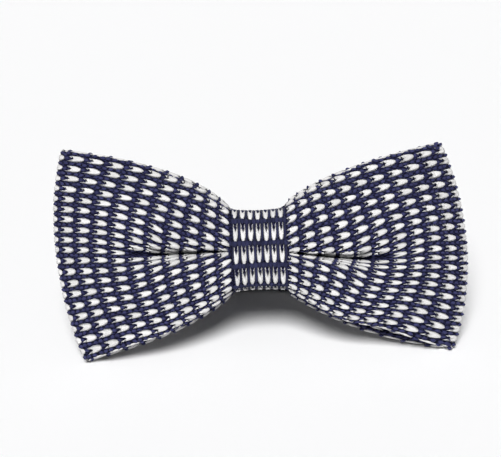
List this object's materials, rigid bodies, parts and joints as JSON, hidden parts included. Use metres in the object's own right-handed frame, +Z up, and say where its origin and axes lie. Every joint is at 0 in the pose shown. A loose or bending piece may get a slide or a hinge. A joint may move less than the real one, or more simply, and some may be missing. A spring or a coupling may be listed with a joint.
{
  "type": "bow tie",
  "caption": "Pre-tied knitted bow tie with two folded loops, a wrapped knot and an adjustable hook-and-eye neckband folded up behind it.",
  "frame": {"origin": "on the table, under the middle of the part's box", "axes": "+X along the bow to the right as seen from its face, +Y to the back, +Z up"},
  "size_m": [0.12, 0.0745, 0.0585],
  "materials": {
    "knit": "matte knitted yarn, navy with white stitches",
    "knit_white": "matte white yarn",
    "wrap_knit": "matte knitted yarn, navy with long white stitches",
    "thread": "twisted thread",
    "band": "woven twill tape",
    "elastic": "ribbed elastic",
    "fittings": "polished nickel plate"
  },
  "bodies": {
    "bow": {"left_wing": "knit", "right_wing": "knit", "knot_wrap": "wrap_knit", "gather_thread": "thread", "wrap_seam": "thread"},
    "neckband": {"neckband": "band", "band_tie": "elastic", "hook_tack": "thread", "band_end_tack": "thread"},
    "hook": {"hook_frame": "fittings", "hook_bar": "fittings"},
    "eye": {"eye_frame": "fittings", "eye_bar": "fittings"},
    "adjuster": {"adjuster_frame": "fittings", "adjuster_bar": "fittings"}
  },
  "joints": [
    {"name": "band_slide", "type": "slide", "parent": "bow", "child": "neckband", "axis": [1, 0, 0], "range_m": [-0.005, 0.005]},
    {"name": "adjuster_slide", "type": "slide", "parent": "neckband", "child": "adjuster", "axis": [1, 0, 0], "range_m": [-0.005, 0.004]},
    {"name": "hook_swing", "type": "hinge", "parent": "neckband", "child": "hook", "pos_m": [-0.01865, 0.0332, 0.008], "axis": [0, 0, 1], "range_deg": [0, 75]},
    {"name": "eye_swing", "type": "hinge", "parent": "neckband", "child": "eye", "pos_m": [0.00435, 0.0332, 0.008], "axis": [0, 0, 1], "range_deg": [-75, 0]}
  ]
}
